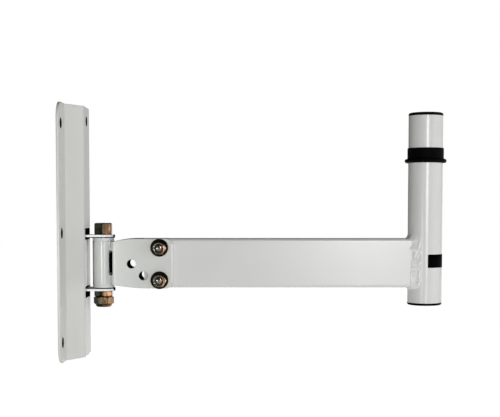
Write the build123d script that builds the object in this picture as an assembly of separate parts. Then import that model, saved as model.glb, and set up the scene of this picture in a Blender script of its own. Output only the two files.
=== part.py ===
"""Wall bracket for a loudspeaker: wall plate, swivel hinge, folded fork, arm and pole.

Units are millimetres. X runs out from the wall, Z is up, and the origin is the
centre of the wall plate's fixing holes on the plane of the wall.
"""
import os
from math import atan2, cos, radians, sin, sqrt, tan

from build123d import *

# Wall plate: one sheet folded to a shallow hat section
plate_height = 254.0
plate_width = 150.0
plate_sheet = 2.5
plate_depth = 17.6
web_width = 36.5
wing_run = 23.75
plate_bend_radius = 3.0
plate_corner_radius = 16.0
wall_hole_diameter = 10.5
wall_hole_spacing_y = 124.0
wall_hole_spacing_z = 213.0
hanging_hole_diameter = 10.0
hanging_hole_inset = 14.0

# Swivel hinge: its bolt stands on a vertical axis in front of the plate
hinge_x = 34.0
hinge_z = -31.5
ear_sheet = 3.0
ear_width = 24.0
ear_bend_radius = 1.5
ear_slot_side_gap = 3.0
ear_slot_inner_gap = 1.75
ear_slot_outer_gap = 6.75
swivel_bolt_diameter = 12.0
swivel_running_gap = 0.08
swivel_end_play = 0.25
swivel_head_flats = 17.0
swivel_head_height = 12.0
swivel_flats = 18.0
swivel_thin_nut_height = 6.0
swivel_lock_nut_height = 8.1
swivel_lock_nut_collar = 2.8
bush_flange_diameter = 22.0
bush_flange_thickness = 3.0
bush_sleeve_length = 12.0
bush_seat_gap = 0.05

# Swivel fork: one sheet rolled round the hinge axis, then spread to two cheeks
fork_sheet = 3.0
knuckle_bore = 16.0
knuckle_length = 45.0
neck_angle = 50.0
flare_angle = 80.0
fork_bend_radius = 1.0
fork_reach = 72.4
fork_root_height = 43.6
fork_top_height = 24.93
fork_bottom_height = 25.65
fork_rise_top = 24.0
fork_rise_bottom = 39.0
fork_corner_radius = 7.0
fork_side_gap = 0.25
neck_offset = 7.3
neck_run = 3.3
relief_offset = 6.85
relief_width = 4.35
relief_height = 24.9
relief_corner_radius = 1.2

# Tilt bolts, the holes that index the tilt, and their fasteners
tilt_bolt_diameter = 8.0
tilt_hole_diameter = 9.0
tilt_bolt_inset = 13.4
pivot_edge_inset = 9.2
lock_edge_inset = 7.8
index_step = 30.0
index_count = 3
tilt_flats = 13.0
tilt_head_height = 5.3
tilt_washer_diameter = 18.0
tilt_washer_thickness = 1.6
tilt_nut_height = 6.4
tilt_nut_collar = 1.9
tilt_bolt_stand_out = 0.6

# Form of every hexagon and lock nut, and how far each is turned about its bolt
flat_to_side = 0.0
edge_to_side = 30.0
hex_rim_ratio = 0.95
hex_chamfer_angle = 30.0
collar_diameter_ratio = 0.93
collar_wall = 0.9
collar_lip = 0.5
collar_overhang = 0.35

# Arm and pole
arm_height = 50.0
arm_width = 25.0
arm_wall = 2.0
arm_corner_radius = 3.0
arm_setback = 43.0
pole_x = 365.0
pole_diameter = 35.0
pole_wall = 2.0
pole_bottom_z = -73.0
pole_top_z = 119.5
weld_leg = 4.2
weld_root_gap = 0.1
cap_flange_thickness = 2.0
cap_flange_step = 0.1
cap_edge_radius = 0.9
cap_spigot_depth = 12.0
cap_spigot_gap = 0.1
cap_spigot_wall = 2.0

# Collar on the pole
sleeve_bottom_z = 70.6
sleeve_height = 15.1
sleeve_diameter = 37.5
sleeve_flange_diameter = 42.5
sleeve_flange_thickness = 3.1
sleeve_edge_radius = 0.8
sleeve_gap = 0.1

# Sizes that follow from the driving dimensions
hanging_hole_z = plate_height / 2 - hanging_hole_inset
web_back_x = plate_depth - plate_sheet
ear_gap = knuckle_length + 2 * (bush_flange_thickness + swivel_end_play)
ear_top_z = hinge_z + ear_gap / 2 + ear_sheet
ear_bottom_z = hinge_z - ear_gap / 2 - ear_sheet
swivel_bore = swivel_bolt_diameter + 2 * swivel_running_gap
fork_inner_width = arm_width + 2 * fork_side_gap
fork_outer_width = fork_inner_width + 2 * fork_sheet
tilt_bolt_reach = fork_reach - tilt_bolt_inset
tilt_bolt_x = hinge_x + tilt_bolt_reach
pivot_height = arm_height / 2 - pivot_edge_inset
index_radius = arm_height - pivot_edge_inset - lock_edge_inset
pivot_z = hinge_z + pivot_height
lock_z = pivot_z - index_radius
arm_start_x = hinge_x + arm_setback
pole_bore = pole_diameter - 2 * pole_wall
cut_margin = 5.0


def rod(diameter, height):
    """A round bar that stands on the XY plane about the Z axis."""
    return Cylinder(diameter / 2, height, align=(Align.CENTER, Align.CENTER, Align.MIN))


def ring(outer, inner, height):
    """A ring that stands on the XY plane about the Z axis."""
    return rod(outer, height) - rod(inner, height)


def round_edges(solid):
    """The circular edges of a solid, from the lowest to the highest."""
    return solid.edges().filter_by(GeomType.CIRCLE).sort_by(Axis.Z)


def hexagon(flats, height, turn):
    """A hexagonal prism on the XY plane with both rims turned to a chamfer."""
    prism = extrude(RegularPolygon(flats / 2, 6, major_radius=False, rotation=turn), height)
    corner = flats / sqrt(3)
    rim = flats / 2 * hex_rim_ratio
    drop = (corner - rim) * tan(radians(hex_chamfer_angle))
    turned = [(0, 0), (rim, 0), (corner, drop), (corner, height - drop), (rim, height), (0, height)]
    return prism & revolve(Plane.XZ * make_face(Polyline(*turned, close=True)), Axis.Z)


def hex_nut(flats, height, bolt_diameter, turn):
    """A plain hexagon nut that stands on the XY plane."""
    return hexagon(flats, height, turn) - rod(bolt_diameter, height)


def insert_ring(flats, height, collar_height, bolt_diameter):
    """The nylon ring in a lock nut's collar."""
    outer = flats * collar_diameter_ratio - 2 * collar_wall
    return Pos(0, 0, height) * ring(outer, bolt_diameter, collar_height - collar_lip)


def lock_nut(flats, height, collar_height, bolt_diameter, turn):
    """A nut whose domed collar is rolled over a nylon ring, standing on the XY plane."""
    outer = flats * collar_diameter_ratio
    collar = rod(outer, collar_height)
    collar = fillet(round_edges(collar)[-1], collar_height - collar_lip)
    pocket = rod(outer - 2 * collar_wall, collar_height - collar_lip)
    mouth = rod(outer - 2 * (collar_wall + collar_overhang), collar_height)
    collar = Pos(0, 0, height) * (collar - pocket - mouth)
    return hex_nut(flats, height, bolt_diameter, turn) + collar


def wall_plate():
    """Folded wall plate with fixing holes, a hanging hole and slots for the hinge ears."""
    half_web = web_width / 2
    half_foot = half_web + wing_run
    half_width = plate_width / 2
    fold = atan2(web_back_x, wing_run)
    shift = plate_sheet * tan(fold / 2)
    front = [(plate_sheet, -half_width), (plate_sheet, -half_foot), (plate_depth, -half_web)]
    back = [(0, -half_width), (0, -half_foot + shift), (web_back_x, -half_web + shift)]
    outline = front + [(x, -y) for x, y in reversed(front)]
    outline += [(x, -y) for x, y in back] + list(reversed(back))
    section = make_face(Polyline(*outline, close=True))
    tight = [front[1], back[2]]
    wide = [back[1], front[2]]
    for points, radius in ((tight, plate_bend_radius), (wide, plate_bend_radius + plate_sheet)):
        for x, y in points:
            for side in (1, -1):
                corner = section.vertices().sort_by_distance((x, y * side, 0))[0]
                section = fillet(corner, radius)
    plate = extrude(section, plate_height / 2, both=True)
    corners = plate.edges().filter_by(Axis.X).filter_by(
        lambda edge: abs(edge.center().Y) > half_width - plate_sheet / 2
    )
    plate = fillet(corners, plate_corner_radius)
    for y in (-wall_hole_spacing_y / 2, wall_hole_spacing_y / 2):
        for z in (-wall_hole_spacing_z / 2, 0, wall_hole_spacing_z / 2):
            plate -= Pos(0, y, z) * Rot(Y=90) * Cylinder(wall_hole_diameter / 2, 4 * plate_sheet)
    hanging_hole = Cylinder(hanging_hole_diameter / 2, 4 * plate_sheet)
    plate -= Pos(plate_depth, 0, hanging_hole_z) * Rot(Y=90) * hanging_hole
    slot_height = ear_slot_inner_gap + ear_sheet + ear_slot_outer_gap
    slot_centre = ear_gap / 2 - ear_slot_inner_gap + slot_height / 2
    slot = Box(4 * plate_sheet, ear_width + 2 * ear_slot_side_gap, slot_height)
    for side in (1, -1):
        plate -= Pos(plate_depth, 0, hinge_z + side * slot_centre) * slot
    return plate


def hinge_bracket():
    """U-shaped strap behind the plate whose two ears reach out through the slots."""
    base_x = web_back_x - ear_sheet
    tip_x = hinge_x + ear_width / 2
    half_gap = ear_gap / 2
    half_height = half_gap + ear_sheet
    upper = [(web_back_x, half_gap), (tip_x, half_gap), (tip_x, half_height), (base_x, half_height)]
    lower = [(x, -z) for x, z in reversed(upper)]
    section = make_face(Polyline(*upper, *lower, close=True))
    for x, z, radius in (
        (web_back_x, half_gap, ear_bend_radius),
        (base_x, half_height, ear_bend_radius + ear_sheet),
    ):
        for side in (1, -1):
            section = fillet(section.vertices().sort_by_distance((x, z * side, 0))[0], radius)
    strap = extrude(Plane.XZ * section, ear_width / 2, both=True)
    run = hinge_x - base_x
    plan = Pos(base_x + run / 2, 0) * Rectangle(run, ear_width) + Pos(hinge_x, 0) * Circle(ear_width / 2)
    plan -= Pos(hinge_x, 0) * Circle(swivel_bore / 2)
    ears = extrude(plan, half_height, both=True)
    return Pos(0, 0, hinge_z) * (strap & ears)


def swivel_bolt():
    """Bolt with a tall hexagon head, put in from above through ears and bushes."""
    end_z = ear_bottom_z - swivel_thin_nut_height - swivel_lock_nut_height - swivel_lock_nut_collar
    shank = rod(swivel_bolt_diameter, ear_top_z - end_z)
    shank = chamfer(round_edges(shank)[0], swivel_bolt_diameter / 12)
    head = Pos(hinge_x, 0, ear_top_z) * hexagon(swivel_head_flats, swivel_head_height, edge_to_side)
    return head + Pos(hinge_x, 0, end_z) * shank


def swivel_thin_nut():
    """Thin nut drawn up against the lower ear."""
    nut = hex_nut(swivel_flats, swivel_thin_nut_height, swivel_bolt_diameter, edge_to_side)
    return Pos(hinge_x, 0, ear_bottom_z - swivel_thin_nut_height) * nut


def below_thin_nut():
    """Seat of the swivel's lock nut, which stands upside down under the thin nut."""
    return Pos(hinge_x, 0, ear_bottom_z - swivel_thin_nut_height) * Rot(X=180)


def bush():
    """Flanged nylon bush, its flange standing on the XY plane and its sleeve below."""
    outer = knuckle_bore - 2 * bush_seat_gap
    flange = ring(bush_flange_diameter, swivel_bore, bush_flange_thickness)
    return flange + Pos(0, 0, -bush_sleeve_length) * ring(outer, swivel_bore, bush_sleeve_length)


def parallel_edges(start, heading, steps, offset):
    """Edges that run beside a path of bends and straights, offset to its left.

    Each step is a pair: a straight has no bend and a length, and a bend has its
    angle, positive to the left, and its radius on the path itself.
    """
    x, y = start
    edges = []
    for angle, size in steps:
        left = (-sin(radians(heading)), cos(radians(heading)))
        if angle == 0:
            ahead = (cos(radians(heading)) * size, sin(radians(heading)) * size)
            begin = (x + left[0] * offset, y + left[1] * offset)
            edges.append(Line(begin, (begin[0] + ahead[0], begin[1] + ahead[1])))
            x, y = x + ahead[0], y + ahead[1]
            continue
        side = 1 if angle > 0 else -1
        centre = (x + side * left[0] * size, y + side * left[1] * size)
        edges.append(CenterArc(centre, size - side * offset, heading - side * 90, angle))
        heading += angle
        x = centre[0] + size * cos(radians(heading - side * 90))
        y = centre[1] + size * sin(radians(heading - side * 90))
    return edges


def fork_section():
    """Plan of one half of the fork: half the knuckle, the S-shaped neck and one cheek."""
    roll = (knuckle_bore + fork_sheet) / 2
    bend = fork_bend_radius + fork_sheet / 2
    cheek = (fork_inner_width + fork_sheet) / 2
    neck, flare = radians(neck_angle), radians(flare_angle)
    neck_heading = neck - radians(90)
    after_neck_x = roll * cos(neck) + bend * (sin(flare) - sin(neck_heading))
    after_neck_y = roll * sin(neck) + bend * (cos(neck_heading) - cos(flare))
    leg = (cheek - after_neck_y - bend * (1 - cos(flare))) / sin(flare)
    cheek_start = after_neck_x + leg * cos(flare) + bend * sin(flare)
    steps = [
        (neck_angle - 180, roll),
        (flare_angle + 90 - neck_angle, bend),
        (0, leg),
        (-flare_angle, bend),
        (0, fork_reach - cheek_start),
    ]
    outer = parallel_edges((-roll, 0), 90, steps, fork_sheet / 2)
    inner = parallel_edges((-roll, 0), 90, steps, -fork_sheet / 2)
    joins = [Line(outer[0] @ 0, inner[0] @ 0), Line(outer[-1] @ 1, inner[-1] @ 1)]
    return make_face(outer + inner + joins)


def fork_outline():
    """Side view of the fork: low at the knuckle, full height over the arm."""
    start = -(knuckle_bore / 2 + fork_sheet)
    waist = neck_offset + neck_run
    half_knuckle = knuckle_length / 2
    half_root = fork_root_height / 2
    edges = [Line((start, -half_knuckle), (start, half_knuckle))]
    for side, rise, reach_z in (
        (1, fork_rise_top, fork_top_height),
        (-1, fork_rise_bottom, fork_bottom_height),
    ):
        full = (waist + rise, side * reach_z)
        edges += [
            Line((start, side * half_knuckle), (neck_offset, side * half_knuckle)),
            Line((neck_offset, side * half_knuckle), (waist, side * half_root)),
            TangentArc(full, (waist, side * half_root), tangent=(-1, 0)),
            Line(full, (fork_reach, side * reach_z)),
        ]
    edges.append(Line((fork_reach, -fork_bottom_height), (fork_reach, fork_top_height)))
    face = make_face(edges)
    for z in (fork_top_height, -fork_bottom_height):
        face = fillet(face.vertices().sort_by_distance((fork_reach, z, 0))[0], fork_corner_radius)
    return face


def index_holes():
    """Centres of the tilt pivot and of the lock bolt's holes, level first, about the hinge."""
    centres = [(tilt_bolt_reach, pivot_height)]
    for step in range(index_count):
        tilt = radians(index_step * step)
        centres.append((
            tilt_bolt_reach - index_radius * sin(tilt),
            pivot_height - index_radius * cos(tilt),
        ))
    return centres


def swivel_fork():
    """Folded fork with its knuckle, two cheeks, pivot and index holes, and a relief slot on the near side."""
    half = extrude(fork_section(), fork_top_height + fork_bottom_height, both=True)
    sheet = half + mirror(half, about=Plane.XZ)
    outline = fork_outline()
    for x, z in index_holes():
        outline -= Pos(x, z) * Circle(tilt_hole_diameter / 2)
    relief = RectangleRounded(relief_width, relief_height, relief_corner_radius)
    relief = Pos(relief_offset + relief_width / 2, 0) * relief
    sheet &= extrude(Plane.XZ * outline, fork_outer_width, both=True)
    sheet -= extrude(Plane.XZ * relief, fork_outer_width)
    return Pos(hinge_x, 0, hinge_z) * sheet


def near_side(z, offset):
    """Place a piece that stands on the XY plane against the near cheek, offset outwards."""
    return Pos(tilt_bolt_x, -fork_outer_width / 2 - offset, z) * Rot(X=90)


def far_side(z, offset):
    """Place a piece that stands on the XY plane against the far cheek, offset outwards."""
    return Pos(tilt_bolt_x, fork_outer_width / 2 + offset, z) * Rot(X=-90)


def tilt_bolt(z):
    """Hexagon bolt across the fork, its head on the far side and its end in the near nut."""
    nut_end = tilt_washer_thickness + tilt_nut_height + tilt_nut_collar
    length = fork_outer_width + tilt_washer_thickness + nut_end + tilt_bolt_stand_out
    shank = chamfer(round_edges(rod(tilt_bolt_diameter, length))[0], tilt_bolt_diameter / 10)
    bolt = Pos(0, 0, -length) * shank + hexagon(tilt_flats, tilt_head_height, flat_to_side)
    return far_side(z, tilt_washer_thickness) * bolt


def tilt_fasteners(name, z):
    """The bolt at height z with its two washers, lock nut and nylon ring, by node name."""
    bore = (tilt_bolt_diameter + tilt_hole_diameter) / 2
    washer = ring(tilt_washer_diameter, bore, tilt_washer_thickness)
    nut = lock_nut(tilt_flats, tilt_nut_height, tilt_nut_collar, tilt_bolt_diameter, flat_to_side)
    insert = insert_ring(tilt_flats, tilt_nut_height, tilt_nut_collar, tilt_bolt_diameter)
    on_washer = near_side(z, tilt_washer_thickness)
    return {
        f"{name}_bolt": tilt_bolt(z),
        f"{name}_head_washer": far_side(z, 0) * washer,
        f"{name}_nut_washer": near_side(z, 0) * washer,
        f"{name}_nut": on_washer * nut,
        f"{name}_nut_insert": on_washer * insert,
    }


def arm_bar(width, height, corner):
    """A solid bar of the arm's length, up to the pole's axis, with rounded long edges."""
    section = Plane.YZ * RectangleRounded(width, height, corner)
    return Pos(arm_start_x, 0, hinge_z) * extrude(section, pole_x - arm_start_x)


def support_arm():
    """Rectangular tube, drilled for the tilt bolts and coped to the pole."""
    bore = arm_bar(arm_width - 2 * arm_wall, arm_height - 2 * arm_wall, arm_corner_radius - arm_wall / 2)
    cope = Cylinder(pole_diameter / 2 + weld_root_gap, arm_height + cut_margin)
    arm = arm_bar(arm_width, arm_height, arm_corner_radius) - bore - Pos(pole_x, 0, hinge_z) * cope
    for z in (pivot_z, lock_z):
        arm -= Pos(tilt_bolt_x, 0, z) * Rot(X=90) * Cylinder(tilt_hole_diameter / 2, 2 * arm_width)
    return arm


def arm_weld():
    """Fillet weld all round the end of the arm, where it meets the pole."""
    radius = pole_diameter / 2
    side = arm_width / 2
    end_x = pole_x - sqrt(radius ** 2 - side ** 2)
    upright = arm_height - 2 * arm_corner_radius
    behind = Pos(pole_x - radius, 0, hinge_z) * Box(2 * radius, arm_width, 2 * arm_height)
    bead = Part()
    for y in (side, -side):
        bead += Pos(end_x, y, hinge_z - upright / 2) * rod(2 * weld_leg, upright)
        for z in (upright / 2, -upright / 2):
            bead += Pos(end_x, y, hinge_z + z) * Sphere(weld_leg)
    for z in (arm_height / 2, -arm_height / 2):
        bead += (Pos(pole_x, 0, hinge_z + z) * Torus(radius, weld_leg)) & behind
    pole = Pos(pole_x, 0, hinge_z) * Cylinder(radius, 2 * arm_height)
    return bead - arm_bar(arm_width, arm_height, arm_corner_radius) - pole


def speaker_pole():
    """Upright tube that goes into the loudspeaker's socket."""
    return Pos(pole_x, 0, pole_bottom_z) * ring(pole_diameter, pole_bore, pole_top_z - pole_bottom_z)


def pole_cap():
    """Plastic plug for an end of the pole, its flange standing on the XY plane."""
    flange = rod(pole_diameter - 2 * cap_flange_step, cap_flange_thickness)
    spigot = pole_bore - 2 * cap_spigot_gap
    cap = fillet(round_edges(flange)[-1], cap_edge_radius)
    return cap + Pos(0, 0, -cap_spigot_depth) * ring(spigot, spigot - 2 * cap_spigot_wall, cap_spigot_depth)


def pole_sleeve():
    """Collar that widens the pole for a larger socket, with a stop flange at its foot."""
    body = rod(sleeve_diameter, sleeve_height)
    body = fillet(round_edges(body)[-1], sleeve_edge_radius / 2)
    flange = rod(sleeve_flange_diameter, sleeve_flange_thickness)
    flange = fillet(round_edges(flange), sleeve_edge_radius)
    collar = body + flange - rod(pole_diameter + 2 * sleeve_gap, sleeve_height)
    return Pos(pole_x, 0, sleeve_bottom_z) * collar


def build_nodes():
    """Every piece of the bracket by name."""
    half_knuckle = knuckle_length / 2
    lock = (swivel_flats, swivel_lock_nut_height, swivel_lock_nut_collar, swivel_bolt_diameter)
    nodes = {
        "wall_plate": wall_plate(),
        "hinge_bracket": hinge_bracket(),
        "swivel_bolt": swivel_bolt(),
        "swivel_thin_nut": swivel_thin_nut(),
        "swivel_lock_nut": below_thin_nut() * lock_nut(*lock, flat_to_side),
        "swivel_nut_insert": below_thin_nut() * insert_ring(*lock),
        "upper_bush": Pos(hinge_x, 0, hinge_z + half_knuckle) * bush(),
        "lower_bush": Pos(hinge_x, 0, hinge_z - half_knuckle) * Rot(X=180) * bush(),
        "swivel_fork": swivel_fork(),
        "support_arm": support_arm(),
        "arm_weld": arm_weld(),
        "speaker_pole": speaker_pole(),
        "pole_top_cap": Pos(pole_x, 0, pole_top_z) * pole_cap(),
        "pole_bottom_cap": Pos(pole_x, 0, pole_bottom_z) * Rot(X=180) * pole_cap(),
        "pole_sleeve": pole_sleeve(),
    }
    nodes.update(tilt_fasteners("tilt_pivot", pivot_z))
    nodes.update(tilt_fasteners("tilt_lock", lock_z))
    return nodes


os.makedirs("parts", exist_ok=True)
for node, solid in build_nodes().items():
    export_step(solid, f"parts/{node}.step")
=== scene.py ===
"""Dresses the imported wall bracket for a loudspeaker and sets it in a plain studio.

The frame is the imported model's own: metres, X out from the wall, Z up, and the origin at the
centre of the wall plate's fixing holes. Sizes below are in millimetres, and lamps in metres.
"""
import logging
import math
from dataclasses import dataclass
from enum import Enum
from typing import Any

import bmesh
import bpy
from mathutils import Matrix, Vector, noise


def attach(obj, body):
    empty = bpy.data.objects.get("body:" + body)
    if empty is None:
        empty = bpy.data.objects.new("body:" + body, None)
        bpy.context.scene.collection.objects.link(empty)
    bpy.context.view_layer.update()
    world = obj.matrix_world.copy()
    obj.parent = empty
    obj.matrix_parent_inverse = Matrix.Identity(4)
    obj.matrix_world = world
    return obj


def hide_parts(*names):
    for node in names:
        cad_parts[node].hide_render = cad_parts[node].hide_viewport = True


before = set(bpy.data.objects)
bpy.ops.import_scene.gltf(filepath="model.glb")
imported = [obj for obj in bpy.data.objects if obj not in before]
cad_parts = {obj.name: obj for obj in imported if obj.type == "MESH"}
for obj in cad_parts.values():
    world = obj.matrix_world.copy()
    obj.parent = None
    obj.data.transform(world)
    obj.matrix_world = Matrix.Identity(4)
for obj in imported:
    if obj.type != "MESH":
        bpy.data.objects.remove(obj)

log = logging.getLogger("speaker_bracket")

Point = tuple[float, float, float]
BMesh = bmesh.types.BMesh
Material = bpy.types.Material
Tree = bpy.types.NodeTree
Socket = bpy.types.NodeSocket

MM = 0.001
MERGE_M = 1e-7
RING_STEPS = 96

# The body that turns on the hinge, which every new piece moves with
ARM_BODY = "arm_assembly"

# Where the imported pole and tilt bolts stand
POLE_X = 365.0
POLE_RADIUS = 17.5
TILT_X = 93.0
PIVOT_Z = -15.7
LOCK_Z = -48.7


class Slot(Enum):
    """The record's material slots."""

    PAINT = "paint"
    ZINC = "zinc"
    BLACK = "black_plastic"


class Drill(Enum):
    """The way a hole is drilled, as the share of each coordinate that counts across it."""

    ALONG_X = (0.0, 1.0, 1.0)
    ALONG_Y = (1.0, 0.0, 1.0)


def linear(code: str) -> tuple[float, float, float, float]:
    """Turn an sRGB hex colour into linear RGBA.

    Args:
        code: Six hex digits after a hash sign.

    Returns:
        The linear red, green and blue, and an alpha of 1.
    """
    parts = [int(code[i:i + 2], 16) / 255 for i in (1, 3, 5)]
    red, green, blue = (
        part / 12.92 if part <= 0.04045 else ((part + 0.055) / 1.055) ** 2.4 for part in parts
    )
    return red, green, blue, 1.0


def add_node(
    tree: Tree, kind: str, inputs: dict[str | int, Any] | None = None, **settings: Any
) -> bpy.types.Node:
    """Add a node with its settings, socket values and links.

    Args:
        tree: The node tree that gets the node.
        kind: Blender's name for the kind of node.
        inputs: What each input socket gets: a value, a socket to join to it, or a node whose
            first output is joined to it.
        **settings: The node's properties.

    Returns:
        The new node.
    """
    node = tree.nodes.new(kind)
    for name, value in settings.items():
        setattr(node, name, value)
    for socket, given in (inputs or {}).items():
        source = given.outputs[0] if isinstance(given, bpy.types.Node) else given
        if isinstance(source, Socket):
            tree.links.new(source, node.inputs[socket])
        else:
            node.inputs[socket].default_value = source
    return node


def empty_material(name: str) -> tuple[Material, Tree]:
    """Make a node material with nothing in its tree.

    Args:
        name: The real material's name.

    Returns:
        The material and its empty node tree.
    """
    material = bpy.data.materials.new(name)
    material.use_nodes = True
    material.node_tree.nodes.clear()
    return material, material.node_tree


def per_metre(size_mm: float) -> float:
    """Scale of a pattern on Object coordinates, from its real size in millimetres."""
    return 1 / (size_mm * MM)


@dataclass(frozen=True)
class Bore:
    """A drilled hole, whose wall is painted dark as shade."""

    drill: Drill
    centre: Point
    radius: float
    margin: float = 0.06

    def mask(self, tree: Tree, place: Socket) -> Socket:
        """Mark the hole's wall.

        Args:
            tree: The material's node tree.
            place: The Object coordinates.

        Returns:
            A socket that is 1 on the wall and 0 elsewhere.
        """
        centre = [c * MM for c in self.centre]
        limit = (self.radius + self.margin) * MM
        away = add_node(tree, "ShaderNodeVectorMath", {0: place, 1: centre}, operation="SUBTRACT")
        across = add_node(tree, "ShaderNodeVectorMath", {0: away, 1: self.drill.value},
                          operation="MULTIPLY")
        reach = add_node(tree, "ShaderNodeVectorMath", {0: across}, operation="LENGTH").outputs["Value"]
        return add_node(tree, "ShaderNodeMath", {0: reach, 1: limit}, operation="LESS_THAN").outputs[0]


@dataclass(frozen=True)
class Cutout:
    """A box in which the coat is painted another tone: near black as shade, or paler as a highlight along a
    cheek's end.
    """

    low: Point
    high: Point

    def mask(self, tree: Tree, place: Socket) -> Socket:
        """Mark what lies in the box.

        Args:
            tree: The material's node tree.
            place: The Object coordinates.

        Returns:
            A socket that is 1 in the box and 0 elsewhere.
        """
        middle = [(a + b) / 2 * MM for a, b in zip(self.low, self.high)]
        half = [(b - a) / 2 * MM for a, b in zip(self.low, self.high)]
        away = add_node(tree, "ShaderNodeVectorMath", {0: place, 1: middle}, operation="SUBTRACT")
        apart = add_node(tree, "ShaderNodeVectorMath", {0: away}, operation="ABSOLUTE")
        share = add_node(tree, "ShaderNodeVectorMath", {0: apart, 1: half}, operation="DIVIDE")
        parts = add_node(tree, "ShaderNodeSeparateXYZ", {0: share}).outputs
        most = add_node(tree, "ShaderNodeMath", {0: parts["X"], 1: parts["Y"]}, operation="MAXIMUM")
        most = add_node(tree, "ShaderNodeMath", {0: most, 1: parts["Z"]}, operation="MAXIMUM")
        return add_node(tree, "ShaderNodeMath", {0: most, 1: 1.0}, operation="LESS_THAN").outputs[0]


@dataclass(frozen=True)
class PowderCoat:
    """Polyester powder coat, baked on steel: a pale grey film of half gloss.

    It shows soft highlights, a faint orange peel and hardly any change of tone. Deep recesses,
    drilled holes, slots and the faces seen through them are painted near black as shade, with
    no sheen, and a band along a sheared end is painted paler as a highlight.
    """

    name: str = "powder_coated_steel"
    pale: str = "#D9D9D8"
    shade: str = "#D3D3D1"
    # Painted shade: the near black that recesses, holes and slots are painted
    steel: str = "#0B0A0A"
    # Painted highlight: the paler colour of a band along a sheared end
    bead: str = "#F8F8F7"
    cloud_mm: float = 38.0
    peel_mm: float = 2.6
    peel_depth_mm: float = 0.05
    peel_strength: float = 0.3
    recess_mm: float = 26.0
    shut_in: float = 0.1
    open_air: float = 0.34
    edge_mm: float = 0.5
    gloss_low: float = 0.23
    gloss_high: float = 0.28
    specular: float = 0.5
    ior: float = 1.5
    painted_shade_areas: tuple[Bore | Cutout, ...] = ()
    painted_highlight_areas: tuple[Cutout, ...] = ()

    def painted_shade_mask(self, tree: Tree, place: Socket) -> Socket:
        """Mark where shade is painted: deep recesses that ambient occlusion finds, and the listed holes and
        boxes.

        Args:
            tree: The material's node tree.
            place: The Object coordinates.

        Returns:
            A socket that goes from 0 on the coat to 1 where near black shade is painted.
        """
        # Painted shade: where ambient occlusion finds a deep recess, the coat turns near black
        around = add_node(tree, "ShaderNodeAmbientOcclusion", {"Distance": self.recess_mm * MM}, samples=8)
        marked = add_node(tree, "ShaderNodeMapRange",
                          {"Value": around.outputs["AO"], "From Min": self.shut_in,
                           "From Max": self.open_air, "To Min": 1.0, "To Max": 0.0},
                          interpolation_type="SMOOTHSTEP").outputs[0]
        for cut in self.painted_shade_areas:
            marked = add_node(tree, "ShaderNodeMath", {0: marked, 1: cut.mask(tree, place)},
                              operation="MAXIMUM").outputs[0]
        return marked

    def material(self) -> Material:
        """Build the node material.

        Returns:
            The finished material.
        """
        material, tree = empty_material(self.name)
        place = add_node(tree, "ShaderNodeTexCoord").outputs["Object"]
        cloud = add_node(tree, "ShaderNodeTexNoise",
                         {"Vector": place, "Scale": per_metre(self.cloud_mm), "Detail": 3.0})
        film = add_node(tree, "ShaderNodeMix", {0: cloud, 6: linear(self.shade), 7: linear(self.pale)},
                        data_type="RGBA").outputs[2]
        # Painted highlight: a paler band along each listed sheared end
        for end in self.painted_highlight_areas:
            film = add_node(tree, "ShaderNodeMix",
                            {0: end.mask(tree, place), 6: film, 7: linear(self.bead)},
                            data_type="RGBA").outputs[2]
        # Painted shade: near black with no sheen in recesses, holes and slots
        painted_shade_areas = self.painted_shade_mask(tree, place)
        tone = add_node(tree, "ShaderNodeMix", {0: painted_shade_areas, 6: film, 7: linear(self.steel)},
                        data_type="RGBA").outputs[2]
        sheen = add_node(tree, "ShaderNodeMapRange",
                         {"Value": painted_shade_areas, "To Min": self.specular, "To Max": 0.0})
        gloss = add_node(tree, "ShaderNodeMapRange",
                         {"Value": cloud, "To Min": self.gloss_low, "To Max": self.gloss_high})
        # Orange peel is about 1 mm from crest to crest, drawn coarser so that it shows
        peel = add_node(tree, "ShaderNodeTexNoise",
                        {"Vector": place, "Scale": per_metre(self.peel_mm), "Detail": 2.0})
        edge = add_node(tree, "ShaderNodeBevel", {"Radius": self.edge_mm * MM}, samples=4)
        bump = add_node(tree, "ShaderNodeBump",
                        {"Height": peel, "Normal": edge, "Strength": self.peel_strength,
                         "Distance": self.peel_depth_mm * MM})
        shader = add_node(tree, "ShaderNodeBsdfPrincipled",
                          {"IOR": self.ior, "Base Color": tone, "Roughness": gloss,
                           "Specular IOR Level": sheen, "Normal": bump})
        add_node(tree, "ShaderNodeOutputMaterial", {"Surface": shader})
        return material


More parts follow.
